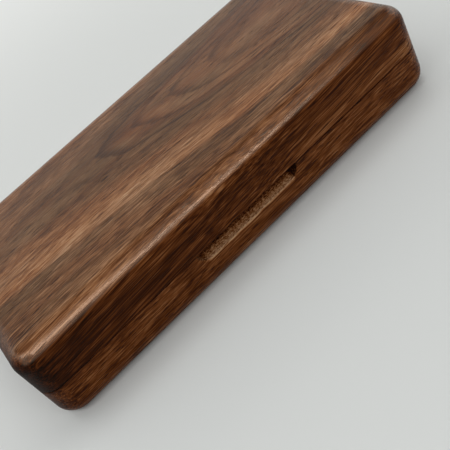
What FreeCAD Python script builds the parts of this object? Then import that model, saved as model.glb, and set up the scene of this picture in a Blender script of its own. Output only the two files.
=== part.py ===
import FreeCAD, Part
import math
import os

from FreeCAD import Vector

# Wooden fly box: a milled base tray and a milled lid tray, joined at the back by two
# brass butt hinges and held shut at the front by hidden magnets. Each tray holds a
# slit foam insert for the fly hooks, and the base has a finger recess at the front.
# Sizes are in millimetres. The origin is the centre of the flat face under the base,
# +X runs to the right along the front, +Y to the back and +Z up. The lid is closed.

# Outside of the box
box_length = 178.0
box_width = 94.0
base_height = 16.0
lid_height = 17.9
rim_gap = 0.1                 # between the rims when the lid is shut
corner_radius = 8.0           # upright corners
top_roundover = 6.8           # along the upper edge of the lid
bottom_roundover = 6.35       # along the lower edge of the base
rim_easing = 0.35             # softened edges of both rims

# Milled hollows of the two trays
wall = 9.0
base_floor = 5.0
lid_roof = 5.0
hollow_corner = 6.35

# Finger recess, cut with a ball-nosed cutter along the front edge of the base
recess_cutter_radius = 4.76
recess_travel = 37.2          # travel of the cutter's centre
recess_lip = 0.75             # radius of the eased edge round the recess

# Butt hinges
hinge_end_inset = 36.0        # end of the box to the middle of a hinge
hinge_length = 25.0
leaf_thickness = 1.2
leaf_depth = 7.0              # how far a leaf reaches into the wall
leaf_fit = 0.1                # between the edges of a leaf and its mortise
knuckle_radius = 2.1
knuckle_count = 5             # odd, with the outer ones on the base leaf
knuckle_gap = 0.15
barrel_clearance = 0.2        # from the barrel to the wood and to the other leaf
pin_radius = 0.9
pin_running_clearance = 0.04
pin_head_radius = 1.4
pin_head_thickness = 0.6
pin_head_easing = 0.35

# Hinge screws
screw_spacing = 15.0          # between the two screws of a leaf
screw_inset = 3.9             # back face of the box to the middle of a screw
screw_head_radius = 1.75
screw_shank_radius = 0.9
screw_length = 8.0            # head to the end of the full shank
screw_point = 1.5
screw_head_sink = 0.05        # below the face of the leaf
screw_slot_width = 0.5
screw_slot_depth = 0.4

# Magnets in the front rims
magnet_end_inset = 24.0       # end of the box to the middle of a magnet
magnet_radius = 3.0
magnet_thickness = 3.0
magnet_fit = 0.05             # round a magnet in its hole
magnet_sink = 0.1             # below the rim

# Foam inserts
foam_thickness = 5.0
foam_fit = 0.3                # between the foam and the side of its tray
film_thickness = 0.25
film_inset = 2.0              # edge of the foam to the edge of its adhesive film
slit_length = 12.0
slit_width = 0.5
slit_depth = 3.5
slit_pitch = 17.0             # along a row
row_pitch = 9.0
slit_margin = 6.0             # clear foam round the slits

# Sizes that follow from these
lid_rim = base_height + rim_gap
box_height = lid_rim + lid_height
half_length = box_length / 2
back_face = box_width / 2
hollow_length = box_length - 2 * wall
hollow_width = box_width - 2 * wall
axis_offset = knuckle_radius + barrel_clearance
axis_y = back_face + axis_offset
axis_z = base_height + rim_gap / 2
knuckle_length = (hinge_length - (knuckle_count - 1) * knuckle_gap) / knuckle_count
hinge_places = {"left": hinge_end_inset - half_length, "right": half_length - hinge_end_inset}
magnet_places = {"left": magnet_end_inset - half_length, "right": half_length - magnet_end_inset}
magnet_y = wall / 2 - back_face
screw_places = (-screw_spacing / 2, screw_spacing / 2)

# The base lies under the hinge axis and the lid over it.
BELOW = -1
ABOVE = 1
SAME_PLACE = 1e-4


def rounded_slab(length, width, corner, low, high):
    """A block on the Z axis with rounded upright corners."""
    block = Part.makeBox(length, width, high - low, Vector(-length / 2, -width / 2, low))
    upright = [edge for edge in block.Edges if abs(edge.tangentAt(edge.FirstParameter).z) > 0.5]
    return block.makeFillet(corner, upright)


def edges_at(shape, height):
    """The edges that lie flat at one height."""
    def on_plane(edge):
        middle = edge.valueAt((edge.FirstParameter + edge.LastParameter) / 2)
        heights = [vertex.Z for vertex in edge.Vertexes] + [middle.z]
        return all(abs(z - height) < SAME_PLACE for z in heights)
    return [edge for edge in shape.Edges if on_plane(edge)]


def spans(length, side):
    """The stretches along the hinge axis that the knuckles of one leaf take up."""
    first = 0 if side == BELOW else 1
    starts = [-length / 2 + number * (knuckle_length + knuckle_gap) for number in range(knuckle_count)]
    return [(start, start + knuckle_length) for start in starts[first::2]]


def box_between(low, high):
    """A block given by its two opposite corners."""
    size = high - low
    return Part.makeBox(size.x, size.y, size.z, low)


def facing(side, z):
    """A height measured from the hinge axis into the base or into the lid."""
    return side * (rim_gap / 2 + z)


def leaf_block(side, x_low, x_high, y_low, y_high):
    """A slab as thick as a leaf, set flush with its own rim."""
    heights = sorted((facing(side, 0), facing(side, leaf_thickness)))
    return box_between(Vector(x_low, y_low, heights[0]), Vector(x_high, y_high, heights[1]))


def screw_shank(side, x):
    """The straight part and the point of a screw, from the face of the leaf inwards."""
    into_wood = Vector(0, 0, side)
    start = Vector(x, -axis_offset - screw_inset, facing(side, screw_head_sink))
    shank = Part.makeCylinder(screw_shank_radius, screw_length, start, into_wood)
    point = Part.makeCone(screw_shank_radius, 0, screw_point, start + into_wood * screw_length, into_wood)
    return shank.fuse(point)


def screw_head(side, x, top_sink):
    """The countersunk cone of a screw, or the hole for it where top_sink is 0."""
    depth = screw_head_radius - screw_shank_radius
    start = Vector(x, -axis_offset - screw_inset, facing(side, screw_head_sink))
    cone = Part.makeCone(screw_head_radius, screw_shank_radius, depth, start, Vector(0, 0, side))
    if top_sink > 0:
        return cone
    mouth = Vector(start.x, start.y, facing(side, 0))
    return cone.fuse(Part.makeCylinder(screw_head_radius, screw_head_sink, mouth, Vector(0, 0, side)))


def hinge_screw(side, x):
    """One slotted wood screw."""
    body = screw_shank(side, x).fuse(screw_head(side, x, screw_head_sink)).removeSplitter()
    centre_y = -axis_offset - screw_inset
    heights = sorted((facing(side, screw_head_sink), facing(side, screw_head_sink + screw_slot_depth)))
    slot = box_between(
        Vector(x - screw_head_radius, centre_y - screw_slot_width / 2, heights[0]),
        Vector(x + screw_head_radius, centre_y + screw_slot_width / 2, heights[1]),
    )
    return body.cut(slot)


def hinge_leaf(side):
    """One leaf with its knuckles, about the hinge axis as the X axis."""
    barrel_front = -axis_offset
    leaf = leaf_block(side, -hinge_length / 2, hinge_length / 2, barrel_front - leaf_depth, barrel_front)
    for start, end in spans(hinge_length, side):
        neck = leaf_block(side, start, end, barrel_front, 0)
        knuckle = Part.makeCylinder(knuckle_radius, end - start, Vector(start, 0, 0), Vector(1, 0, 0))
        leaf = leaf.fuse([neck, knuckle])
    bore_radius = pin_radius if side == BELOW else pin_radius + pin_running_clearance
    leaf = leaf.cut(Part.makeCylinder(bore_radius, hinge_length, Vector(-hinge_length / 2, 0, 0), Vector(1, 0, 0)))
    for x in screw_places:
        leaf = leaf.cut(screw_shank(side, x).fuse(screw_head(side, x, 0)))
    return leaf.removeSplitter()


def hinge_pin():
    """The pin with its two rounded heads, about the hinge axis as the X axis."""
    pin = Part.makeCylinder(pin_radius, hinge_length, Vector(-hinge_length / 2, 0, 0), Vector(1, 0, 0))
    for outward in (-1, 1):
        start = Vector(outward * hinge_length / 2, 0, 0)
        head = Part.makeCylinder(pin_head_radius, pin_head_thickness, start, Vector(outward, 0, 0))
        outer_edge = [edge for edge in head.Edges if abs(edge.CenterOfMass.x) > abs(start.x) + SAME_PLACE
                      and len(edge.Vertexes) == 1]
        pin = pin.fuse(head.makeFillet(pin_head_easing, outer_edge))
    return pin.removeSplitter()


def mortise(side):
    """The shallow pocket for a leaf, open at the back of the box."""
    half = hinge_length / 2 + leaf_fit
    return leaf_block(side, -half, half, -axis_offset - leaf_depth - leaf_fit, 0)


def at_hinge(shape, x):
    """The shape moved from the hinge axis to one of the two hinges."""
    placed = shape.copy()
    placed.translate(Vector(x, axis_y, axis_z))
    return placed


def magnet_hole(x, side):
    """The blind hole for a magnet, from its rim inwards."""
    rim = base_height if side == BELOW else lid_rim
    depth = magnet_sink + magnet_thickness
    return Part.makeCylinder(magnet_radius + magnet_fit, depth, Vector(x, magnet_y, rim), Vector(0, 0, side))


def magnet(x, side):
    """One disc magnet, just below its rim."""
    rim = base_height if side == BELOW else lid_rim
    start = Vector(x, magnet_y, rim + side * magnet_sink)
    return Part.makeCylinder(magnet_radius, magnet_thickness, start, Vector(0, 0, side))


def with_fittings(shell, side):
    """A tray with the holes for its magnets, hinge leaves and screws."""
    for x in magnet_places.values():
        shell = shell.cut(magnet_hole(x, side))
    for x in hinge_places.values():
        holes = mortise(side).fuse([screw_shank(side, place) for place in screw_places])
        shell = shell.cut(at_hinge(holes, x))
    return shell


def recess_cutter():
    """The space that the finger recess takes out of the front of the base.

    The cutter's centre runs along the line where the front face meets the rim. Its
    section is a circle, with an eased lip that is tangent to it and to the face.
    """
    radius = recess_cutter_radius
    lip = recess_lip
    reach = math.sqrt(radius ** 2 + 2 * radius * lip)
    share = radius / (radius + lip)
    turn_of_lip = math.atan2(lip, reach)
    half_turn = (math.pi / 2 + turn_of_lip) / 2
    bottom = Vector(0, radius, 0)
    cove_middle = Vector(radius * math.sin(half_turn - turn_of_lip), radius * math.cos(half_turn - turn_of_lip), 0)
    cove_end = Vector(reach * share, lip * share, 0)
    lip_centre = Vector(reach, lip, 0)
    away = (cove_end - lip_centre).normalize() + Vector(0, -1, 0)
    lip_middle = lip_centre + away.normalize() * lip
    lip_end = Vector(reach, 0, 0)
    front = Vector(reach, -radius, 0)
    front_middle = Vector(0, -radius, 0)
    section = Part.Wire([
        Part.Arc(bottom, cove_middle, cove_end).toShape(),
        Part.Arc(cove_end, lip_middle, lip_end).toShape(),
        Part.makeLine(lip_end, front),
        Part.makeLine(front, front_middle),
        Part.makeLine(front_middle, bottom),
    ])
    half_face = Part.Face(section)
    end = half_face.revolve(Vector(0, 0, 0), Vector(0, 1, 0), 360)
    straight = half_face.copy()
    straight.rotate(Vector(0, 0, 0), Vector(0, 1, 0), 90)
    straight.translate(Vector(-recess_travel / 2, 0, 0))
    cutter = straight.extrude(Vector(recess_travel, 0, 0))
    for x in (-recess_travel / 2, recess_travel / 2):
        cutter = cutter.fuse(end.translated(Vector(x, 0, 0)))
    cutter.translate(Vector(0, -back_face, base_height))
    return cutter


def base_shell():
    """The base tray, milled from one piece of wood."""
    block = rounded_slab(box_length, box_width, corner_radius, 0, base_height)
    block = block.makeFillet(bottom_roundover, edges_at(block, 0))
    hollow = rounded_slab(hollow_length, hollow_width, hollow_corner, base_floor, base_height)
    shell = block.cut(hollow)
    shell = shell.makeFillet(rim_easing, edges_at(shell, base_height))
    return with_fittings(shell.cut(recess_cutter()), BELOW)


def lid_shell():
    """The lid tray, milled from one piece of wood."""
    block = rounded_slab(box_length, box_width, corner_radius, lid_rim, box_height)
    block = block.makeFillet(top_roundover, edges_at(block, box_height))
    hollow = rounded_slab(hollow_length, hollow_width, hollow_corner, lid_rim, box_height - lid_roof)
    shell = block.cut(hollow)
    shell = shell.makeFillet(rim_easing, edges_at(shell, lid_rim))
    return with_fittings(shell, ABOVE)


def places_along(length, size, pitch):
    """The middles of as many evenly pitched things as fit along a length."""
    count = 1 + int((length - size) // pitch)
    return [(number - (count - 1) / 2) * pitch for number in range(count)]


def foam_insert(seat, side):
    """A foam pad on its film, with rows of slits in the face towards the rim."""
    towards_rim = -side
    back = seat + towards_rim * film_thickness
    face = back + towards_rim * foam_thickness
    length = hollow_length - 2 * foam_fit
    width = hollow_width - 2 * foam_fit
    pad = rounded_slab(length, width, hollow_corner - foam_fit, min(back, face), max(back, face))
    depths = sorted((face, face - towards_rim * slit_depth))
    slits = [
        box_between(
            Vector(x - slit_length / 2, y - slit_width / 2, depths[0]),
            Vector(x + slit_length / 2, y + slit_width / 2, depths[1]),
        )
        for x in places_along(length - 2 * slit_margin, slit_length, slit_pitch)
        for y in places_along(width - 2 * slit_margin, slit_width, row_pitch)
    ]
    return pad.cut(Part.makeCompound(slits))


def adhesive_film(seat, side):
    """The film that holds a foam pad to the bottom of its tray."""
    inset = 2 * (foam_fit + film_inset)
    heights = sorted((seat, seat - side * film_thickness))
    corner = hollow_corner - foam_fit - film_inset
    return rounded_slab(hollow_length - inset, hollow_width - inset, corner, *heights)


def tray_parts(name, side, shell, seat):
    """Every piece that belongs to the base or to the lid, by its node name."""
    parts = {
        name + "_shell": shell,
        name + "_foam": foam_insert(seat, side),
        name + "_foam_film": adhesive_film(seat, side),
    }
    for place, x in magnet_places.items():
        parts[f"{name}_magnet_{place}"] = magnet(x, side)
    for place, x in hinge_places.items():
        screws = Part.makeCompound([hinge_screw(side, offset) for offset in screw_places])
        parts[f"{place}_hinge_{name}_leaf"] = at_hinge(hinge_leaf(side), x)
        parts[f"{place}_hinge_{name}_screws"] = at_hinge(screws, x)
    return parts


def all_parts():
    """The whole box, by node name."""
    parts = tray_parts("base", BELOW, base_shell(), base_floor)
    parts.update(tray_parts("lid", ABOVE, lid_shell(), box_height - lid_roof))
    for place, x in hinge_places.items():
        parts[place + "_hinge_pin"] = at_hinge(hinge_pin(), x)
    return parts


os.makedirs("parts", exist_ok=True)
for node, shape in all_parts().items():
    if not shape.isValid():
        raise ValueError(node + " is not a valid shape")
    shape.exportStep(os.path.join("parts", node + ".step"))
    print(node, len(shape.Solids), round(shape.Volume, 1))
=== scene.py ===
import math

import bmesh
import bpy
from mathutils import Matrix, Vector


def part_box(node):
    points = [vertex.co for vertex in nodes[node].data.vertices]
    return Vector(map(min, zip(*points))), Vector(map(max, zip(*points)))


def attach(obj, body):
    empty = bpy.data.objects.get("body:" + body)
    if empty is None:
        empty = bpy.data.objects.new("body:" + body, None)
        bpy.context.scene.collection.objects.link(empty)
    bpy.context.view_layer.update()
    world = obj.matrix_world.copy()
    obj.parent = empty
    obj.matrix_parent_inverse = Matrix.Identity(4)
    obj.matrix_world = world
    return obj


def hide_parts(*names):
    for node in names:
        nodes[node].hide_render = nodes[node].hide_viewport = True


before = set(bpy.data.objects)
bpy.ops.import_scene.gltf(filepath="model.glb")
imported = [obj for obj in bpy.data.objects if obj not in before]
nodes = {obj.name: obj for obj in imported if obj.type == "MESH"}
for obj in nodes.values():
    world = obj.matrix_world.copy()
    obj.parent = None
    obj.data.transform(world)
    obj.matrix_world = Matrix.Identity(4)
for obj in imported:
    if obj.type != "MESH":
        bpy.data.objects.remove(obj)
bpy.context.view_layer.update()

# A wooden fly box of oiled walnut, with brass hinges, nickel-plated magnets and slit foam.
# Sizes and places are in millimetres, and MM turns them into metres. Only the floor and the
# lights, which stand round the box, are given in metres.
MM = 0.001

# Camera: it looks along +Y turned towards +X, downwards, and leans to one side, in degrees.
SENSOR = 36.0
FOCAL_LENGTH = 56.502
CAMERA_PLACE = (-53.088, -225.151, 162.505)
CAMERA_TURN = 13.8075
CAMERA_DROP = 38.2885
CAMERA_LEAN = -35.1490


def add_camera():
    data = bpy.data.cameras.new("camera")
    data.sensor_width = SENSOR
    data.lens = FOCAL_LENGTH
    data.clip_start = 0.01
    data.clip_end = 20.0
    camera = bpy.data.objects.new("camera", data)
    turn = Matrix.Rotation(math.radians(-CAMERA_TURN), 4, "Z")
    drop = Matrix.Rotation(math.radians(90 - CAMERA_DROP), 4, "X")
    lean = Matrix.Rotation(math.radians(CAMERA_LEAN), 4, "Z")
    camera.matrix_world = Matrix.Translation(Vector(CAMERA_PLACE) * MM) @ turn @ drop @ lean
    bpy.context.scene.collection.objects.link(camera)
    bpy.context.scene.camera = camera


add_camera()
bpy.context.scene.view_settings.view_transform = "Standard"


class Shader:
    """One material's node tree. Every input takes a number, a tuple or another node's output."""

    def __init__(self, name):
        self.material = bpy.data.materials.new(name)
        self.material.use_nodes = True
        self.tree = self.material.node_tree
        self.tree.nodes.clear()
        self.surface = self.add("ShaderNodeBsdfPrincipled")
        self.output = self.add("ShaderNodeOutputMaterial")
        self.tree.links.new(self.surface.outputs[0], self.output.inputs["Surface"])

    @classmethod
    def of_world(cls, world):
        """The same helpers on the world's node tree, which starts empty."""
        shader = cls.__new__(cls)
        shader.tree = world.node_tree
        shader.tree.nodes.clear()
        return shader

    def feed(self, socket, value):
        if isinstance(value, bpy.types.NodeSocket):
            self.tree.links.new(value, socket)
        elif socket.type == "RGBA" and len(value) == 3:
            socket.default_value = (*value, 1.0)
        else:
            socket.default_value = value

    def add(self, kind, inputs=None, **settings):
        node = self.tree.nodes.new(kind)
        for key, value in settings.items():
            setattr(node, key, value)
        for key, value in (inputs or {}).items():
            self.feed(node.inputs[key], value)
        return node

    def set(self, **inputs):
        """Feeds inputs of the surface, named with _ for each space."""
        for key, value in inputs.items():
            self.feed(self.surface.inputs[key.replace("_", " ")], value)

    def math(self, operation, *values, clamp=False):
        node = self.add("ShaderNodeMath", operation=operation, use_clamp=clamp)
        for socket, value in zip(node.inputs, values):
            self.feed(socket, value)
        return node.outputs[0]

    def plus(self, *values):
        total = values[0]
        for value in values[1:]:
            total = self.math("ADD", total, value)
        return total

    def times(self, *values):
        total = values[0]
        for value in values[1:]:
            total = self.math("MULTIPLY", total, value)
        return total

    def less(self, a, b):
        return self.math("SUBTRACT", a, b)

    def size(self, value):
        return self.math("ABSOLUTE", value)

    def hypotenuse(self, a, b):
        return self.math("SQRT", self.plus(self.times(a, a), self.times(b, b)))

    def vector(self, operation, *values):
        """Arithmetic on vectors. LENGTH gives a number, and the rest give a vector."""
        node = self.add("ShaderNodeVectorMath", dict(enumerate(values)), operation=operation)
        return node.outputs["Value" if operation == "LENGTH" else "Vector"]

    def object_place(self):
        """The place on the object in metres, which moves and turns with the object."""
        return self.add("ShaderNodeTexCoord").outputs["Object"]

    def millimetres(self):
        return self.vector("MULTIPLY", self.object_place(), (1 / MM, 1 / MM, 1 / MM))

    def parts(self, vector):
        return self.add("ShaderNodeSeparateXYZ", {0: vector}).outputs

    def joined(self, x, y, z):
        return self.add("ShaderNodeCombineXYZ", {0: x, 1: y, 2: z}).outputs[0]

    def noise(self, place, density, detail=2.0, roughness=0.5):
        """Noise from -0.5 to 0.5 round 0. density is the blotches per millimetre on each axis."""
        inputs = {
            "Vector": self.vector("MULTIPLY", place, density),
            "Scale": 1.0,
            "Detail": detail,
            "Roughness": roughness,
        }
        return self.less(self.add("ShaderNodeTexNoise", inputs).outputs["Fac"], 0.5)

    def cell_distance(self, place, density):
        """The distance to the nearest cell's middle, in cells. density is the cells per millimetre."""
        inputs = {"Vector": self.vector("MULTIPLY", place, density), "Scale": 1.0}
        return self.add("ShaderNodeTexVoronoi", inputs, feature="F1").outputs["Distance"]

    def step(self, value, start, end, low=0.0, high=1.0):
        """A smooth step from low to high as value goes from start to end."""
        inputs = {"Value": value, "From Min": start, "From Max": end, "To Min": low, "To Max": high}
        return self.add("ShaderNodeMapRange", inputs, interpolation_type="SMOOTHSTEP").outputs[0]

    def fall(self, value, start, end):
        """A smooth step down from 1 to 0 as value goes from start to end."""
        return self.step(value, start, end, low=1.0, high=0.0)

    def within(self, value, low, high, soft):
        """1 where value lies between low and high, 0 outside, with soft edges."""
        begun = self.step(value, low - soft, low + soft)
        return self.times(begun, self.fall(value, high - soft, high + soft))

    def curve(self, value, points):
        """A smooth line through points of (value, result)."""
        first, last = points[0][0], points[-1][0]
        results = [result for place, result in points]
        low, high = min(results), max(results)
        reach = max(high - low, 1e-6)
        share = self.math("DIVIDE", self.less(value, first), last - first, clamp=True)
        node = self.add("ShaderNodeFloatCurve", {"Value": share})
        line = node.mapping.curves[0]
        for place, result in points:
            at = ((place - first) / (last - first), (result - low) / reach)
            if place == first:
                line.points[0].location = at
            elif place == last:
                line.points[-1].location = at
            else:
                line.points.new(*at)
        node.mapping.update()
        return self.plus(self.times(node.outputs[0], reach), low)

    def ramp(self, value, stops):
        """Colours placed along value from 0 to 1."""
        node = self.add("ShaderNodeValToRGB", {0: value})
        elements = node.color_ramp.elements
        elements[0].position, elements[-1].position = stops[0][0], stops[-1][0]
        elements[0].color = (*stops[0][1], 1.0)
        elements[-1].color = (*stops[-1][1], 1.0)
        for place, colour in stops[1:-1]:
            elements.new(place).color = (*colour, 1.0)
        return node.outputs[0]

    def mix(self, share, a, b):
        return self.add("ShaderNodeMix", {0: share, 6: a, 7: b}, data_type="RGBA").outputs[2]

    def bump(self, height, depth):
        """height in steps of depth, which is in millimetres."""
        return self.add("ShaderNodeBump", {"Height": height, "Distance": depth * MM}).outputs[0]


# The outline of the box, the heights of its top and its parting line, and the places of its
# ends along x and of its front face along y
CORNER = 8.0
HALF_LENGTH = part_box("lid_shell")[1].x / MM
HALF_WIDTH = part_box("lid_shell")[1].y / MM
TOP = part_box("lid_shell")[1].z / MM
PARTING = (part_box("base_shell")[1].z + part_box("lid_shell")[0].z) / 2 / MM
LEFT = -HALF_LENGTH
RIGHT = HALF_LENGTH
FRONT = -HALF_WIDTH

# Blanks of walnut. The lid's figure falls about where the photo shows it: its heart_y, heart_z
# and lean are the rounded result of a least-squares fit to grain lines traced in the photo.
# heart_y and heart_z say where the heart of the tree ran past the blank at each x, and the
# growth rings are tubes round that line. lean, by y, and the uneven drift push them in or
# out. ring is the width of a ring, and first_ring the radius at which one of them starts.
# By radius, lines is the strength of the dark ring lines, fibres that of the fine fibres,
# bands the tone and greys the greyness. contrast is the strength of clouds and streaks,
# crowding shortens the fibres, and offset moves the blank to another part of the tree.
# A patch of tone is a stain or painted shade: its middle, its reach along x, y and z, and the change of
# tone, dark below 0.
LID_BLANK = {
    "heart_y": [(-90, 17.6), (-45, 20.9), (0, 19.3), (45, 16.7), (90, 19.2)],
    "heart_z": [(-90, -42.3), (-45, -39.5), (0, -36.9), (45, -34.6), (90, -32.1)],
    "lean": [
        (-50, -1.85), (-20, -1.85), (-8, -1.65), (2, -1.1), (10, -0.3), (18, 0.25),
        (26, 1.6), (36, 2.8), (50, 3.9),
    ],
    "drift": 0.7,
    "ring": 1.12,
    "first_ring": 69.0,
    "lines": [
        (55, 0.1), (67.6, 0.15), (68.5, 0.75), (71.5, 1.0), (72.6, 0.8), (75, 0.35),
        (80, 0.30), (84, 0.5), (90, 0.4), (100, 0.3), (115, 0.3),
    ],
    "fibres": [(55, 0.44), (72, 0.46), (75, 0.72), (79, 0.85), (90, 0.95), (115, 1.0)],
    "contrast": 0.85,
    "bands": [
        (55, 0.50), (66, 0.52), (69, 0.52), (70.4, 0.55), (71.0, 0.52), (71.8, 0.44),
        (73, 0.44), (74.4, 0.48), (76, 0.54), (78, 0.62), (80.5, 0.68), (82.0, 0.60),
        (83.0, 0.44), (84.6, 0.44), (86.2, 0.44), (88, 0.49), (90.5, 0.46), (93, 0.50),
        (96, 0.50), (100, 0.42), (106, 0.5), (115, 0.45),
    ],
    "greys": [
        (55, 0.5), (66, 0.6), (70.5, 0.6), (71.2, 0.3), (72.2, 0.9), (75, 0.7), (77.5, 0.45),
        (81.5, 0.4), (83.2, 0.9), (86, 0.75), (89, 0.6), (93, 0.6), (100, 0.3), (115, 0.3),
    ],
    "crowding": 1.0,
    "offset": (0.0, 0.0, 0.0),
    "stains_and_painted_shade": [
        ((-75.0, -47.0, 21.0), (70.0, 12.0, 11.0), -0.165),  # left half of the front face
        ((-60.0, -42.0, 34.0), (36.0, 6.0, 3.0), 0.13),      # front edge of the top, left
        ((20.0, -40.5, 33.2), (50.0, 7.5, 4.0), 0.07),       # front edge of the top, middle
        ((-12.0, -24.0, 34.0), (75.0, 20.0, 5.0), 0.045),    # front half of the top
        ((-89.0, -45.0, 28.0), (10.0, 12.0, 8.0), -0.13),    # left front corner, upper part
        ((-86.0, -46.0, 19.0), (10.0, 8.0, 6.0), -0.10),     # left front corner, lower part
        ((-52.0, 38.0, 34.0), (30.0, 15.0, 6.0), -0.11),     # back of the top, left
        ((-76.0, -29.0, 34.0), (22.0, 7.0, 5.0), 0.05),      # left front part of the top
        ((88.0, 12.0, 34.0), (30.0, 36.0, 8.0), -0.08),      # right end of the top
        ((5.0, -47.0, 24.0), (40.0, 6.0, 5.0), -0.06),       # middle of the front face
        ((42.0, -47.0, 17.5), (34.0, 6.0, 3.5), -0.10),      # right of the front face, low down
        ((42.0, -47.0, 21.5), (36.0, 6.0, 3.5), 0.09),       # right of the front face, above that
        # The next patch is painted shade below the highlight of the polished edge.
        ((-79.0, -46.0, 28.6), (34.0, 6.0, 3.6), -0.12),     # under the polished edge, left
    ],
}
BASE_BLANK = {
    "heart_y": [(-90, -12), (-45, -10), (0, -9), (45, -10), (90, -12)],
    "heart_z": [(-90, -62), (-45, -61.4), (0, -60.8), (45, -60), (90, -59)],
    "lean": [(-50, 0), (-20, 0.6), (0, 0), (20, 0.8), (50, 0)],
    "drift": 1.6,
    "ring": 1.35,
    "first_ring": 60.0,
    "lines": [(55, 0.4), (85, 0.3), (115, 0.4)],
    "fibres": [(55, 0.9), (85, 0.85), (115, 0.9)],
    "contrast": 0.6,
    "bands": [
        (55, 0.48), (60, 0.50), (63, 0.46), (66, 0.50), (69, 0.52), (71, 0.47), (74, 0.51),
        (78, 0.48), (82, 0.52), (86, 0.47), (90, 0.50), (95, 0.48), (102, 0.50), (115, 0.48),
    ],
    "greys": [(55, 0.3), (70, 0.2), (85, 0.4), (115, 0.3)],
    "crowding": 2.0,
    "offset": (37.0, 11.0, 5.0),
    "stains_and_painted_shade": [
        ((-85.0, -46.0, 10.0), (12.0, 9.0, 10.0), -0.07),    # left front corner
    ],
}

# Colours of oiled walnut from its darkest pigment to its palest streaks: the warm tones
# of the sides, and the greyer ones that lie in bands along the top, where they also paint its sheen.
WARM_TONES = [
    (0.0, (0.005, 0.0010, 0.0002)),
    (0.25, (0.034, 0.0070, 0.0010)),
    (0.42, (0.089, 0.0228, 0.0042)),
    (0.58, (0.178, 0.0580, 0.0155)),
    (0.75, (0.305, 0.134, 0.053)),
    (1.0, (0.480, 0.290, 0.150)),
]
GREY_TONES = [
    (0.0, (0.006, 0.0020, 0.0005)),
    (0.25, (0.046, 0.0155, 0.0045)),
    (0.42, (0.104, 0.0475, 0.0175)),
    (0.58, (0.178, 0.090, 0.042)),
    (0.75, (0.285, 0.153, 0.080)),
    (1.0, (0.460, 0.290, 0.180)),
]

# Noise in the wood: blotches per millimetre along the grain and the two ways across it,
# detail and roughness. Across the grain, STREAK goes by the radius and then by y.
RING_DRIFT = ((0.02, 0.07, 0.07), 2.0)
RING_RIPPLE = ((0.10, 0.6, 0.6), 3.0)
LINE_FADING = ((0.03, 0.2, 0.2), 2.0)
CLOUD = ((0.018, 0.09, 0.09), 2.0)
STREAK = ((0.022, 0.42, 0.06), 2.0)
FLECK = ((0.07, 0.55, 0.55), 2.0, 0.55)
FIBRE = ((0.028, 1.2, 1.2), 3.0, 0.65)
THREAD = ((0.07, 3.0, 3.0), 1.0, 0.6)
DASH = ((0.07, 1.6, 1.6), 1.0, 0.5)
HAZE = ((0.022, 0.14, 0.14), 2.0)
PATCH_EDGE = ((0.05, 0.4, 0.4), 3.0)
SMEAR = ((0.05, 0.05, 0.05), 3.0)
TORN_FIBRE = ((1.1, 3.0, 3.0), 1.0, 0.5)
CHATTER = ((0.8, 0.05, 0.05), 2.0)

# Pores: length and width of the cell that holds one, and the pore's radius in cells where a
# growth ring starts
WIDE_PORE = (14.0, 0.85, 0.27)
FINE_PORE = (8.0, 0.40, 0.26)

# The finish: specular level and tint of the oil, and how deep the grain stands in it
OIL_SHINE = 0.07
OIL_SHEEN = (1.0, 0.70, 0.50)
GRAIN_DEPTH = 0.028

# Each pair from here on is where a soft edge starts and where it ends.
# By the share of a growth ring: its dark late wood, and its large early pores
LATE_WOOD_START = (0.55, 0.90)
LATE_WOOD_END = (0.91, 1.0)
EARLY_WOOD_END = (0.0, 0.6)

# By the reach of a patch of tone: where it thins out
PATCH_FADE = (0.35, 1.15)

# By the x part of a face's outward direction: end grain, and the recess's walls at its ends, which get
# painted shade
END_GRAIN = (0.55, 0.95)
RIGHT_WALL = (-0.6, -0.25)
LEFT_WALL = (0.25, 0.6)

# The painted shade along the parting line, by the distance from the outline, which is below 0
# inside it, and by the distance from the line
SEAM_DEPTH = (-0.50, -0.30)
SEAM_HEIGHT = (0.15, 0.55)

# Where the greyer upper face begins, by height, and where it is in full, by y. The greys there also paint
# the sheen of the top.
UPPER_FACE = (TOP - 3.5, TOP - 0.4)
FRONT_EDGE = (FRONT + 2.5, FRONT + 8.0)

# The finger recess, and its lip, which is the lower edge of its mouth between the rounded ends and
# carries a painted highlight.
# The painted light and shade of the scoop go by y, pale at the lip and dark at the back, and it is greyer
# from its mouth to GREY_SCOOP.
RECESS_HALF_LENGTH = 24.2
RECESS_MOUTH = (FRONT + 0.05, FRONT + 0.5)
RECESS_BACK = (FRONT + 5.4, FRONT + 5.8)
RECESS_BOTTOM = 10.3
RECESS_TOP = PARTING + 0.15
RECESS_SHADE = [
    (FRONT, 0.25), (FRONT + 0.5, 0.25), (FRONT + 1.3, 0.26), (FRONT + 2.2, 0.21),
    (FRONT + 3.0, 0.09), (FRONT + 3.6, -0.10), (FRONT + 5.0, -0.20),
]
GREY_SCOOP = (FRONT + 0.8, FRONT + 2.4)
LIP_HALF_LENGTH = 20.6
LIP_FRONT = (FRONT - 0.1, FRONT + 0.02)
LIP_BACK = (FRONT + 0.2, FRONT + 0.9)
LIP_BOTTOM = 10.7
LIP_TOP = 11.7

# The scuffed foot of the base, and the polished long edge at the front of the lid, which
# grows duller towards the right
FOOT = (1.5, 4.5)
POLISH_BACK = (FRONT + 7.0, FRONT + 11.0)
POLISH_BOTTOM = (TOP - 4.1, TOP - 3.0)
POLISH_TOP = (TOP - 1.5, TOP - 0.4)
POLISH_LEFT = (LEFT + 3.2, LEFT + 4.8)
POLISH_RIGHT = (RIGHT - 44.0, RIGHT - 9.0)


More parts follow.
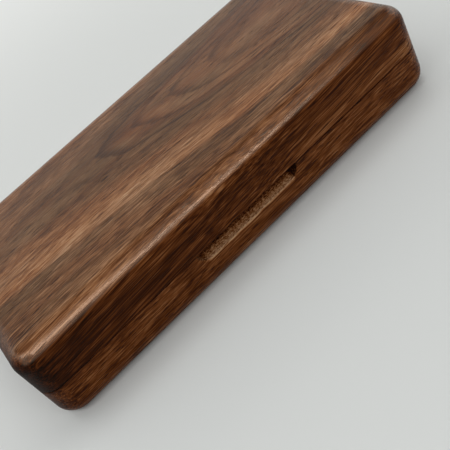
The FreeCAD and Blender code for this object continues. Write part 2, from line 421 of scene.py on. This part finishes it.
class Walnut(Shader):
    """Oiled walnut that runs through its whole block, so rings and pores meet every face.

    tone goes from 0, the darkest pigment, to 1, the palest streak, and grey from the warm
    tones to the greyer ones. relief is a height in steps of GRAIN_DEPTH.
    """

    def __init__(self, name, blank):
        super().__init__(name)
        self.blank = blank
        self.place = self.millimetres()
        self.x, self.y, self.z = self.parts(self.place)
        self.across = self.less(self.y, self.curve(self.x, blank["heart_y"]))
        self.above = self.less(self.z, self.curve(self.x, blank["heart_z"]))
        along = self.times(self.x, blank["crowding"])
        self.grain = self.vector("ADD", self.joined(along, self.across, self.above), blank["offset"])
        self.normal_x = self.parts(self.add("ShaderNodeNewGeometry").outputs["Normal"])[0]
        self.end = self.step(self.size(self.normal_x), *END_GRAIN)
        self.shine = OIL_SHINE
        self.grow_rings()
        self.open_pores()
        self.lay_fibres()
        self.add_stains_and_painted_shade()
        self.grey_bands_and_painted_sheen()

    def grow_rings(self):
        """Growth rings, a little uneven along the tree, each line with its own strength."""
        drift = self.times(self.noise(self.grain, *RING_DRIFT), self.blank["drift"])
        ripple = self.times(self.noise(self.grain, *RING_RIPPLE), 0.35)
        distance = self.hypotenuse(self.across, self.above)
        self.radius = self.plus(distance, self.curve(self.y, self.blank["lean"]), drift, ripple)
        turns = self.math("DIVIDE", self.less(self.radius, self.blank["first_ring"]), self.blank["ring"])
        self.age = self.math("FRACT", turns)
        number = self.math("FLOOR", turns)
        draw = self.add("ShaderNodeTexWhiteNoise", {"W": number}, noise_dimensions="1D").outputs["Value"]
        strength = self.plus(self.times(draw, 0.3), 0.7)
        late_wood = self.times(self.step(self.age, *LATE_WOOD_START), self.fall(self.age, *LATE_WOOD_END))
        fading = self.step(self.noise(self.grain, *LINE_FADING), -0.30, 0.0, low=0.35)
        self.line = self.times(late_wood, strength, fading, self.curve(self.radius, self.blank["lines"]))

    def open_pores(self):
        """Long thin tubes along the grain, larger at the start of a ring."""
        early = self.step(self.age, *EARLY_WOOD_END, low=1.0, high=0.5)
        wide = self.fall(self.pore_distance(early, *WIDE_PORE), -0.05, 0.02)
        fine = self.fall(self.pore_distance(early, *FINE_PORE), -0.06, 0.02)
        self.pore = self.math("MAXIMUM", wide, self.times(fine, 0.6))

    def pore_distance(self, early, length, width, share):
        """How far it is to the wall of the nearest pore, in cells, below 0 in the pore."""
        distance = self.cell_distance(self.grain, (1 / length, 1 / width, 1 / width))
        return self.less(distance, self.times(early, share))

    def lay_fibres(self):
        """Pigment that runs with the rings, and fibres that come and go along the board."""
        cloud = self.noise(self.grain, *CLOUD)
        streak = self.noise(self.joined(self.x, self.radius, self.across), *STREAK)
        fleck = self.noise(self.grain, *FLECK)
        fibre = self.noise(self.grain, *FIBRE)
        thread = self.noise(self.grain, *THREAD)
        dash = self.step(self.noise(self.grain, *DASH), 0.04, 0.12)
        smear = self.noise(self.place, *SMEAR)
        contrast = self.blank["contrast"]
        fine = self.plus(self.times(fleck, 0.20), self.times(fibre, 0.74), self.times(thread, 0.75))
        self.tone = self.plus(
            self.curve(self.radius, self.blank["bands"]),
            self.times(self.end, -0.17),
            # painted shade along the parting line
            self.times(self.painted_seam_shade(), -0.22),
            self.times(cloud, 0.35 * contrast),
            self.times(streak, 0.38 * contrast),
            self.times(self.curve(self.radius, self.blank["fibres"]), fine),
            self.times(dash, -0.11),
            self.times(self.line, -0.20),
            self.times(self.pore, -0.34),
        )
        self.roughness = self.plus(
            0.23,
            self.times(smear, 0.10),
            self.times(fibre, 0.14),
            self.times(self.pore, 0.25),
            self.times(dash, 0.08),
            self.times(self.end, 0.15),
        )
        self.relief = self.plus(
            self.times(self.pore, -1.0),
            self.times(fibre, 1.2),
            self.times(thread, 1.2),
            self.times(dash, -0.4),
        )

    def painted_seam_shade(self):
        """1 along the softened outer edges where the two halves meet, where shade is painted along the
        parting line.
        """
        past_x = self.math("MAXIMUM", self.less(self.size(self.x), HALF_LENGTH - CORNER), 0.0)
        past_y = self.math("MAXIMUM", self.less(self.size(self.y), HALF_WIDTH - CORNER), 0.0)
        from_outline = self.less(self.hypotenuse(past_x, past_y), CORNER)
        from_parting = self.size(self.less(self.z, PARTING))
        return self.times(self.step(from_outline, *SEAM_DEPTH), self.fall(from_parting, *SEAM_HEIGHT))

    def add_stains_and_painted_shade(self):
        for middle, reach, change in self.blank["stains_and_painted_shade"]:
            offset = self.vector("SUBTRACT", self.place, middle)
            away = self.vector("LENGTH", self.vector("MULTIPLY", offset, tuple(1 / r for r in reach)))
            away = self.plus(away, self.times(self.noise(self.grain, *PATCH_EDGE), 0.8))
            self.tone = self.plus(self.tone, self.step(away, *PATCH_FADE, low=change, high=0.0))

    def grey_bands_and_painted_sheen(self):
        """Grey bands in the wood, laid only on the upper face and less near its front edge, where they
        also paint the sheen of the top.
        """
        haze = self.noise(self.grain, *HAZE)
        bands = self.curve(self.radius, self.blank["greys"])
        banded = self.math("ADD", bands, self.times(haze, 1.6), clamp=True)
        upper = self.step(self.z, *UPPER_FACE)
        self.grey = self.times(banded, upper, self.step(self.y, *FRONT_EDGE, low=0.25))

    def cut_recess(self):
        """The scoop of the cutter, with torn fibres: painted light from its lower lip to its middle, a
        painted highlight along the lip, and painted shade at the back and on the end grain of both ends,
        deepest at the right end."""
        cut = self.times(
            self.within(self.x, -RECESS_HALF_LENGTH, RECESS_HALF_LENGTH, 0.3),
            self.step(self.y, *RECESS_MOUTH),
            self.fall(self.y, *RECESS_BACK),
            self.within(self.z, RECESS_BOTTOM, RECESS_TOP, 0.1),
        )
        lip = self.times(
            self.within(self.x, -LIP_HALF_LENGTH, LIP_HALF_LENGTH, 0.8),
            self.step(self.y, *LIP_FRONT),
            self.fall(self.y, *LIP_BACK),
            self.within(self.z, LIP_BOTTOM, LIP_TOP, 0.15),
        )
        torn = self.noise(self.place, *TORN_FIBRE)
        chatter = self.noise(self.place, *CHATTER)
        right_wall_shade = self.times(cut, self.fall(self.normal_x, *RIGHT_WALL))
        left_wall_shade = self.times(cut, self.step(self.normal_x, *LEFT_WALL))
        to_middle_tone = self.times(self.less(0.5, self.tone), 0.6)
        shade = self.curve(self.y, RECESS_SHADE)
        marks = self.plus(shade, self.times(torn, 1.35), self.times(chatter, 0.3))
        # Painted light and shade in the scoop, a painted highlight on the lip, and painted shade on the
        # end walls
        self.tone = self.plus(
            self.tone,
            self.times(cut, to_middle_tone),
            self.times(cut, marks),
            self.times(lip, 0.30),
            self.times(right_wall_shade, -0.60),
            self.times(left_wall_shade, -0.30),
        )
        self.roughness = self.plus(self.roughness, self.times(cut, 0.35))
        ridges = self.plus(self.times(torn, 3.0), self.times(chatter, 2.0))
        self.relief = self.plus(self.relief, self.times(cut, ridges))
        lower_part = self.step(self.y, *GREY_SCOOP, low=0.5, high=0.0)
        self.grey = self.plus(self.grey, self.times(cut, lower_part))

    def scuff_foot(self):
        """The table scuffs the lower edge."""
        self.roughness = self.plus(self.roughness, self.step(self.z, *FOOT, low=0.5, high=0.0))

    def polish_front_edge(self):
        """Hands polish the long rounded edge at the front, and the ends stay duller."""
        worn = self.times(
            self.fall(self.y, *POLISH_BACK),
            self.step(self.z, *POLISH_BOTTOM),
            self.fall(self.z, *POLISH_TOP),
            self.step(self.x, *POLISH_LEFT),
            self.step(self.x, *POLISH_RIGHT, low=1.0, high=0.4),
        )
        self.shine = self.plus(self.shine, self.times(worn, 0.88), self.times(self.end, -0.05))
        self.roughness = self.less(self.roughness, self.times(worn, 0.04))
        self.tone = self.plus(self.tone, self.times(worn, 0.05))

    def finished(self):
        colour = self.mix(self.grey, self.ramp(self.tone, WARM_TONES), self.ramp(self.tone, GREY_TONES))
        self.set(Base_Color=colour, Roughness=self.roughness)
        self.set(Specular_IOR_Level=self.shine, Specular_Tint=OIL_SHEEN)
        self.set(Normal=self.bump(self.relief, GRAIN_DEPTH))
        return self.material


def base_walnut():
    wood = Walnut("base walnut", BASE_BLANK)
    wood.cut_recess()
    wood.scuff_foot()
    return wood.finished()


def lid_walnut():
    wood = Walnut("lid walnut", LID_BLANK)
    wood.polish_front_edge()
    return wood.finished()


def worn_brass(name, colour, tarnish, roughness, brushing):
    """Brass that tarnishes in patches and small spots. brushing is the density of its scratches."""
    s = Shader(name)
    place = s.millimetres()
    brushed = s.noise(place, density=brushing, detail=4.0, roughness=0.7)
    patch = s.noise(place, density=(0.25, 0.25, 0.6), detail=4.0, roughness=0.6)
    spot = s.fall(s.cell_distance(place, density=(0.9, 0.9, 0.9)), 0.05, 0.16)
    share = s.plus(0.30, s.times(patch, 1.1), s.times(brushed, 0.5), s.times(spot, 0.25))
    s.set(Base_Color=s.mix(share, colour, tarnish))
    s.set(Metallic=1.0)
    s.set(Roughness=s.plus(roughness, s.times(patch, 0.18), s.times(brushed, 0.12), s.times(spot, 0.15)))
    s.set(Normal=s.bump(s.plus(brushed, s.times(spot, -0.4)), 0.012))
    return s.material


def nickel(name, disc):
    """Plating on the disc magnets, with painted shade on the rougher chamfer round each. disc is the node
    of one of them.
    """
    clean = (0.42, 0.41, 0.395)
    hazy = (0.29, 0.285, 0.27)
    painted_chamfer_shade = (0.10, 0.095, 0.09)
    low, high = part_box(disc)
    middle = (low + high) / 2 / MM
    radius = (high.x - low.x) / 2 / MM
    s = Shader(name)
    place = s.millimetres()
    haze = s.noise(place, density=(0.6, 0.6, 0.6), detail=4.0, roughness=0.6)
    scratch = s.noise(place, density=(0.5, 9.0, 3.0), detail=3.0, roughness=0.7)
    x, y, _ = s.parts(place)
    from_middle = s.hypotenuse(s.less(s.size(x), abs(middle.x)), s.less(y, middle.y))
    chamfer = s.step(from_middle, radius - 0.55, radius - 0.25)
    face = s.mix(s.plus(0.4, haze), clean, hazy)
    # The chamfer ring gets a painted shade colour.
    s.set(Base_Color=s.mix(chamfer, face, painted_chamfer_shade))
    s.set(Metallic=1.0)
    s.set(Roughness=s.plus(0.20, s.times(haze, 0.16), s.times(scratch, 0.10), s.times(chamfer, 0.25)))
    s.set(Normal=s.bump(s.plus(scratch, s.times(chamfer, -8.0)), 0.006))
    return s.material


def paper_film(name):
    """Yellowed paper with a short fibre."""
    pale = (0.80, 0.74, 0.60)
    yellowed = (0.70, 0.62, 0.46)
    s = Shader(name)
    fibre = s.noise(s.millimetres(), density=(1.2, 1.2, 1.2), detail=5.0, roughness=0.7)
    s.set(Base_Color=s.mix(s.plus(0.5, fibre), pale, yellowed))
    s.set(Roughness=s.plus(0.6, s.times(fibre, 0.2)))
    s.set(Normal=s.bump(fibre, 0.02))
    return s.material


def cell_foam(name):
    """Fine closed-cell foam with small open pits that hold painted shade."""
    skin = (0.78, 0.74, 0.64)
    cloud_and_pit_shade = (0.62, 0.57, 0.46)
    s = Shader(name)
    place = s.millimetres()
    cell = s.cell_distance(place, density=(2.6, 2.6, 2.6))
    small_cell = s.cell_distance(place, density=(6.0, 6.0, 6.0))
    cloud = s.noise(place, density=(0.05, 0.05, 0.2), detail=3.0)
    pit = s.fall(cell, 0.1, 0.45)
    # The pits are painted darker as shade; the cloud is tone that differs at random.
    share = s.plus(0.35, s.times(cloud, 0.7), s.times(pit, 0.35))
    s.set(Base_Color=s.mix(share, skin, cloud_and_pit_shade))
    s.set(Roughness=s.plus(0.86, s.times(pit, 0.06)), Specular_IOR_Level=0.25)
    s.set(Normal=s.bump(s.plus(s.times(pit, -1.0), s.times(small_cell, 0.5)), 0.05))
    return s.material


# Foam inserts, with rows of slits that take the hooks
SLIT_HALF_LENGTH = 6.0
SLIT_HALF_WIDTH = 0.22
SLIT_TIP = 0.02               # half width of a slit at its two ends
SLIT_DEPTH = 3.3
SLIT_PITCH = 17.0
ROW_PITCH = 9.0
SLIT_COLUMNS = 8
SLIT_ROWS = 7
FOAM_CORNER = 6.05
EDGE_DROP = 0.35              # how far the upper face drops at the edge of the pad
EDGE_REACH = 0.18             # and how far in from the edge it does so
BRINK_DROP = 0.14             # drop of the upper face at the mouth of a slit
WALL_WIDTH = 0.45             # width of a slit low down on its walls, as a share of its mouth
WALL_DEPTH = 0.93             # and the depth there, as a share of the slit's depth
SWELLING = 0.10               # rise of the upper face beside a slit
SWELLING_HALF_LENGTH = 7.5
SWELLING_MIDDLE = 0.6         # how far from the middle of the slit the rise is highest
SWELLING_SPREAD = 0.7

# Of the mesh lines that run along a row, those nearer than this to its middle form the
# bottoms, the walls and the mouths of its slits.
BOTTOM_LINE = 0.02
WALL_LINES = 0.1
MOUTH_LINES = 0.3

# Mesh lines of the upper face, from the middle of a slit, and in from the edge of the pad
STEPS_ALONG_SLIT = (1.6, 3.0, 4.2, 5.1, 5.6, 5.9, 6.1, 6.7, 8.5)
STEPS_ACROSS_SLIT = (0.07, 0.2, 0.34, 0.6, 1.1, 2.2, 4.5)
STEPS_AT_EDGE = (0.0, 0.1, 0.3, 0.7, 1.6, 4.0)

# The cut side draws in a little at mid height: share of the thickness, and how far in
SIDE_TUCKS = ((0.16, 0.02), (0.32, 0.07), (0.5, 0.10), (0.68, 0.07), (0.84, 0.02), (1.0, 0.05))


def centres(count, pitch):
    return [(i - (count - 1) / 2) * pitch for i in range(count)]


def mesh_lines(middles, steps, edge):
    """Places of the mesh lines: close together at each slit, and at the edge of the pad."""
    both_ways = [-step for step in steps] + [0.0] + list(steps)
    inner = [middle + step for middle in middles for step in both_ways]
    outer = [edge - step for step in STEPS_AT_EDGE]
    return sorted(set(round(place, 4) for place in [-place for place in outer] + inner + outer))


class SlitPad:
    """The upper face and the sides of a slit foam insert. Its middle is at 0."""

    def __init__(self, length, width, thickness):
        self.half_length = length / 2
        self.half_width = width / 2
        self.thickness = thickness
        self.columns = centres(SLIT_COLUMNS, SLIT_PITCH)
        self.rows = centres(SLIT_ROWS, ROW_PITCH)

    def end_at(self, y):
        """How far the rounded outline reaches along x at y."""
        past = abs(y) - (self.half_width - FOAM_CORNER)
        if past <= 0:
            return self.half_length
        inset = FOAM_CORNER - math.sqrt(max(FOAM_CORNER ** 2 - past ** 2, 0.0))
        return self.half_length - inset

    def upper_point(self, x, y):
        """The point of the upper face for a crossing of two mesh lines."""
        end = self.end_at(y)
        start = self.columns[-1] + SLIT_HALF_LENGTH + 1.0
        if abs(x) > start:
            share = (abs(x) - start) / (self.half_length - start)
            x = math.copysign(start + share * (end - start), x)
        gap = min(end - abs(x), self.half_width - abs(y))
        height = -EDGE_DROP * math.exp(-gap / EDGE_REACH)
        along = x - min(self.columns, key=lambda column: abs(column - x))
        row = min(self.rows, key=lambda place: abs(place - y))
        across = y - row
        openness = max(1 - (along / SLIT_HALF_LENGTH) ** 2, 0.0)
        if openness > 0 and abs(across) < MOUTH_LINES:
            half_width, drop = self.slit_at(abs(across), openness)
            y = row + math.copysign(half_width, across)
            height -= drop
        beside = (abs(across) - SWELLING_MIDDLE) / SWELLING_SPREAD
        fullness = max(1 - (along / SWELLING_HALF_LENGTH) ** 2, 0.0)
        height += SWELLING * math.exp(-beside ** 2) * fullness
        return x, y, height

    def slit_at(self, across, openness):
        """Half width and drop of a slit at its bottom, its walls or its mouth, by the mesh line."""
        half_width = SLIT_HALF_WIDTH * math.sqrt(openness) + SLIT_TIP
        depth = SLIT_DEPTH * openness ** 0.25
        if across < BOTTOM_LINE:
            return across, depth
        if across < WALL_LINES:
            return half_width * WALL_WIDTH, depth * WALL_DEPTH
        return half_width, BRINK_DROP

    def outward(self, point):
        """The direction out of the rounded outline at a point on its edge."""
        past_x = max(abs(point.x) - (self.half_length - FOAM_CORNER), 0.0)
        past_y = max(abs(point.y) - (self.half_width - FOAM_CORNER), 0.0)
        past = Vector((past_x, past_y))
        if past.length < 1e-6:
            past = Vector((0.0, 1.0))
        past.normalize()
        return Vector((math.copysign(past.x, point.x), math.copysign(past.y, point.y), 0.0))

    def add_upper_face(self, mesh):
        """Adds the upper face and returns its rim."""
        xs = mesh_lines(self.columns, STEPS_ALONG_SLIT, self.half_length)
        ys = mesh_lines(self.rows, STEPS_ACROSS_SLIT, self.half_width)
        grid = [[mesh.verts.new(self.upper_point(x, y)) for x in xs] for y in ys]
        for near, far in zip(grid, grid[1:]):
            for i in range(len(xs) - 1):
                mesh.faces.new((near[i], near[i + 1], far[i + 1], far[i]))
        right = [row[-1] for row in grid[1:-1]]
        left = [row[0] for row in grid[-2:0:-1]]
        return grid[0] + right + grid[-1][::-1] + left

    def add_sides(self, mesh, rim):
        """Adds rings of side faces under the rim, and the lower face."""
        edge = [(vertex.co.copy(), self.outward(vertex.co)) for vertex in rim]
        for share, tuck in SIDE_TUCKS:
            ring = []
            for point, out in edge:
                x, y = point.x - out.x * tuck, point.y - out.y * tuck
                ring.append(mesh.verts.new((x, y, -share * self.thickness)))
            for i in range(len(rim)):
                j = (i + 1) % len(rim)
                mesh.faces.new((rim[j], rim[i], ring[i], ring[j]))
            rim = ring
        mesh.faces.new(rim[::-1])

    def mesh_data(self, turned):
        """The finished mesh. If turned, the slits are in its lower face."""
        mesh = bmesh.new()
        self.add_sides(mesh, self.add_upper_face(mesh))
        if turned:
            bmesh.ops.scale(mesh, vec=(1, 1, -1), verts=mesh.verts)
            bmesh.ops.reverse_faces(mesh, faces=mesh.faces)
        bmesh.ops.recalc_face_normals(mesh, faces=mesh.faces)
        data = bpy.data.meshes.new("foam")
        mesh.to_mesh(data)
        mesh.free()
        return data


def add_foam(name, node, body, turned):
    """A slit pad in the place of a plain CAD insert, on the same body."""
    low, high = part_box(node)
    size = (high - low) / MM
    middle = (low + high) / 2
    slit_face = low.z if turned else high.z
    data = SlitPad(size.x, size.y, size.z).mesh_data(turned)
    data.transform(Matrix.Translation((middle.x, middle.y, slit_face)) @ Matrix.Scale(MM, 4))
    for polygon in data.polygons:
        polygon.use_smooth = True
    piece = bpy.data.objects.new(name, data)
    bpy.context.scene.collection.objects.link(piece)
    data.materials.append(materials["foam"])
    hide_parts(node)
    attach(piece, body)


materials = {
    "base_shell": base_walnut(),
    "lid_shell": lid_walnut(),
    "leaf": worn_brass(
        "hinge brass", colour=(0.60, 0.40, 0.155), tarnish=(0.33, 0.21, 0.075),
        roughness=0.36, brushing=(0.6, 9.0, 9.0),
    ),
    "pin": worn_brass(
        "pin brass", colour=(0.62, 0.42, 0.17), tarnish=(0.34, 0.22, 0.085),
        roughness=0.30, brushing=(5.0, 1.5, 1.5),
    ),
    "screws": worn_brass(
        "screw brass", colour=(0.66, 0.47, 0.21), tarnish=(0.40, 0.27, 0.11),
        roughness=0.24, brushing=(4.0, 4.0, 4.0),
    ),
    "magnet": nickel("nickel plating", disc="base_magnet_left"),
    "film": paper_film("adhesive film"),
    "foam": cell_foam("slit foam"),
}


def material_for(node):
    """The first material whose word is in the node's name. A film's name has foam in it too."""
    return next(material for word, material in materials.items() if word in node)


for node_name, node_object in nodes.items():
    node_object.data.materials.clear()
    node_object.data.materials.append(material_for(node_name))

add_foam("base_slit_foam", "base_foam", "base", turned=False)
add_foam("lid_slit_foam", "lid_foam", "lid", turned=True)

# Floor, backdrop and light, in metres. The table fades into the backdrop between two
# distances from the middle of the box.
BACKDROP = (0.78, 0.795, 0.775)
TABLE = (0.680, 0.696, 0.680)
TABLE_HALF_WIDTH = 3.0
FADE_START = 0.11
FADE_END = 0.45


def seen(s):
    """1 for rays from the eye, also by way of gloss or glass, and 0 for rays that carry light."""
    path = s.add("ShaderNodeLightPath").outputs
    reflected = s.math("MAXIMUM", path["Is Glossy Ray"], path["Is Transmission Ray"])
    return s.math("MAXIMUM", path["Is Camera Ray"], reflected)


def add_floor():
    """A plain table that fades into the plain backdrop."""
    half = TABLE_HALF_WIDTH
    corners = [(-half, -half, 0), (half, -half, 0), (half, half, 0), (-half, half, 0)]
    data = bpy.data.meshes.new("floor")
    data.from_pydata(corners, [], [(0, 1, 2, 3)])
    floor = bpy.data.objects.new("floor", data)
    bpy.context.scene.collection.objects.link(floor)
    s = Shader("pale table")
    s.set(Base_Color=TABLE, Roughness=0.6, Specular_IOR_Level=0.2)
    away = s.vector("LENGTH", s.object_place())
    far = s.times(s.step(away, FADE_START, FADE_END), seen(s))
    glow = s.add("ShaderNodeEmission", {"Color": BACKDROP})
    blend = s.add("ShaderNodeMixShader", {0: far, 1: s.surface.outputs[0], 2: glow.outputs[0]})
    s.tree.links.new(blend.outputs[0], s.output.inputs["Surface"])
    data.materials.append(s.material)


def add_panel(name, towards, distance, size, power, colour=(1, 1, 1), along=None):
    """A soft light panel in the direction towards, facing the object. along turns its long side."""
    direction = Vector(towards).normalized()
    data = bpy.data.lights.new(name, "AREA")
    data.shape = "RECTANGLE"
    data.size, data.size_y = size
    data.energy = power
    data.color = colour
    panel = bpy.data.objects.new(name, data)
    if along is None:
        side = Vector((0, 0, 1)).cross(direction).normalized()
    else:
        side = (Vector(along) - direction * direction.dot(Vector(along))).normalized()
    other = direction.cross(side)
    turn = Matrix((side, other, direction)).transposed()
    panel.matrix_world = Matrix.Translation(direction * distance) @ turn.to_4x4()
    bpy.context.scene.collection.objects.link(panel)


def add_world(colour, strength):
    """Soft light from all round, with the plain backdrop in its place for the eye."""
    world = bpy.data.worlds.new("room")
    world.use_nodes = True
    s = Shader.of_world(world)
    light = s.add("ShaderNodeBackground", {"Color": colour, "Strength": strength})
    plain = s.add("ShaderNodeBackground", {"Color": BACKDROP})
    blend = s.add("ShaderNodeMixShader", {0: seen(s), 1: light.outputs[0], 2: plain.outputs[0]})
    s.tree.links.new(blend.outputs[0], s.add("ShaderNodeOutputWorld").inputs["Surface"])
    bpy.context.scene.world = world


add_floor()
add_world(colour=(0.97, 0.99, 1.0), strength=0.18)
add_panel("overhead", towards=(0.05, 0.19, 0.98), distance=0.85, size=(0.9, 0.35), power=2.1)
add_panel("back window", towards=(0.10, 0.50, 0.86), distance=1.1, size=(1.6, 0.45), power=0.8)
add_panel("back wall", towards=(0.25, 0.90, 0.38), distance=2.0, size=(3.0, 1.3), power=10.5,
          colour=(1.0, 0.97, 0.93))
add_panel("left wall", towards=(-0.75, 0.60, 0.38), distance=2.0, size=(2.0, 1.0), power=7.5)
add_panel("right fill", towards=(0.90, 0.10, 0.40), distance=1.2, size=(0.9, 0.6), power=1.8)
add_panel("left window", towards=(-0.50, -0.23, 0.83), distance=1.0, size=(0.70, 0.28), power=1.70,
          along=(-0.28, 0.20, -0.13))
add_panel("front window", towards=(-0.15, -0.62, 0.77), distance=1.0, size=(0.30, 0.26), power=1.15,
          along=(0.24, -0.16, -0.12))
add_panel("front window side", towards=(0.19, -0.77, 0.61), distance=1.0, size=(0.46, 0.09), power=1.25,
          along=(0.40, -0.04, -0.20))
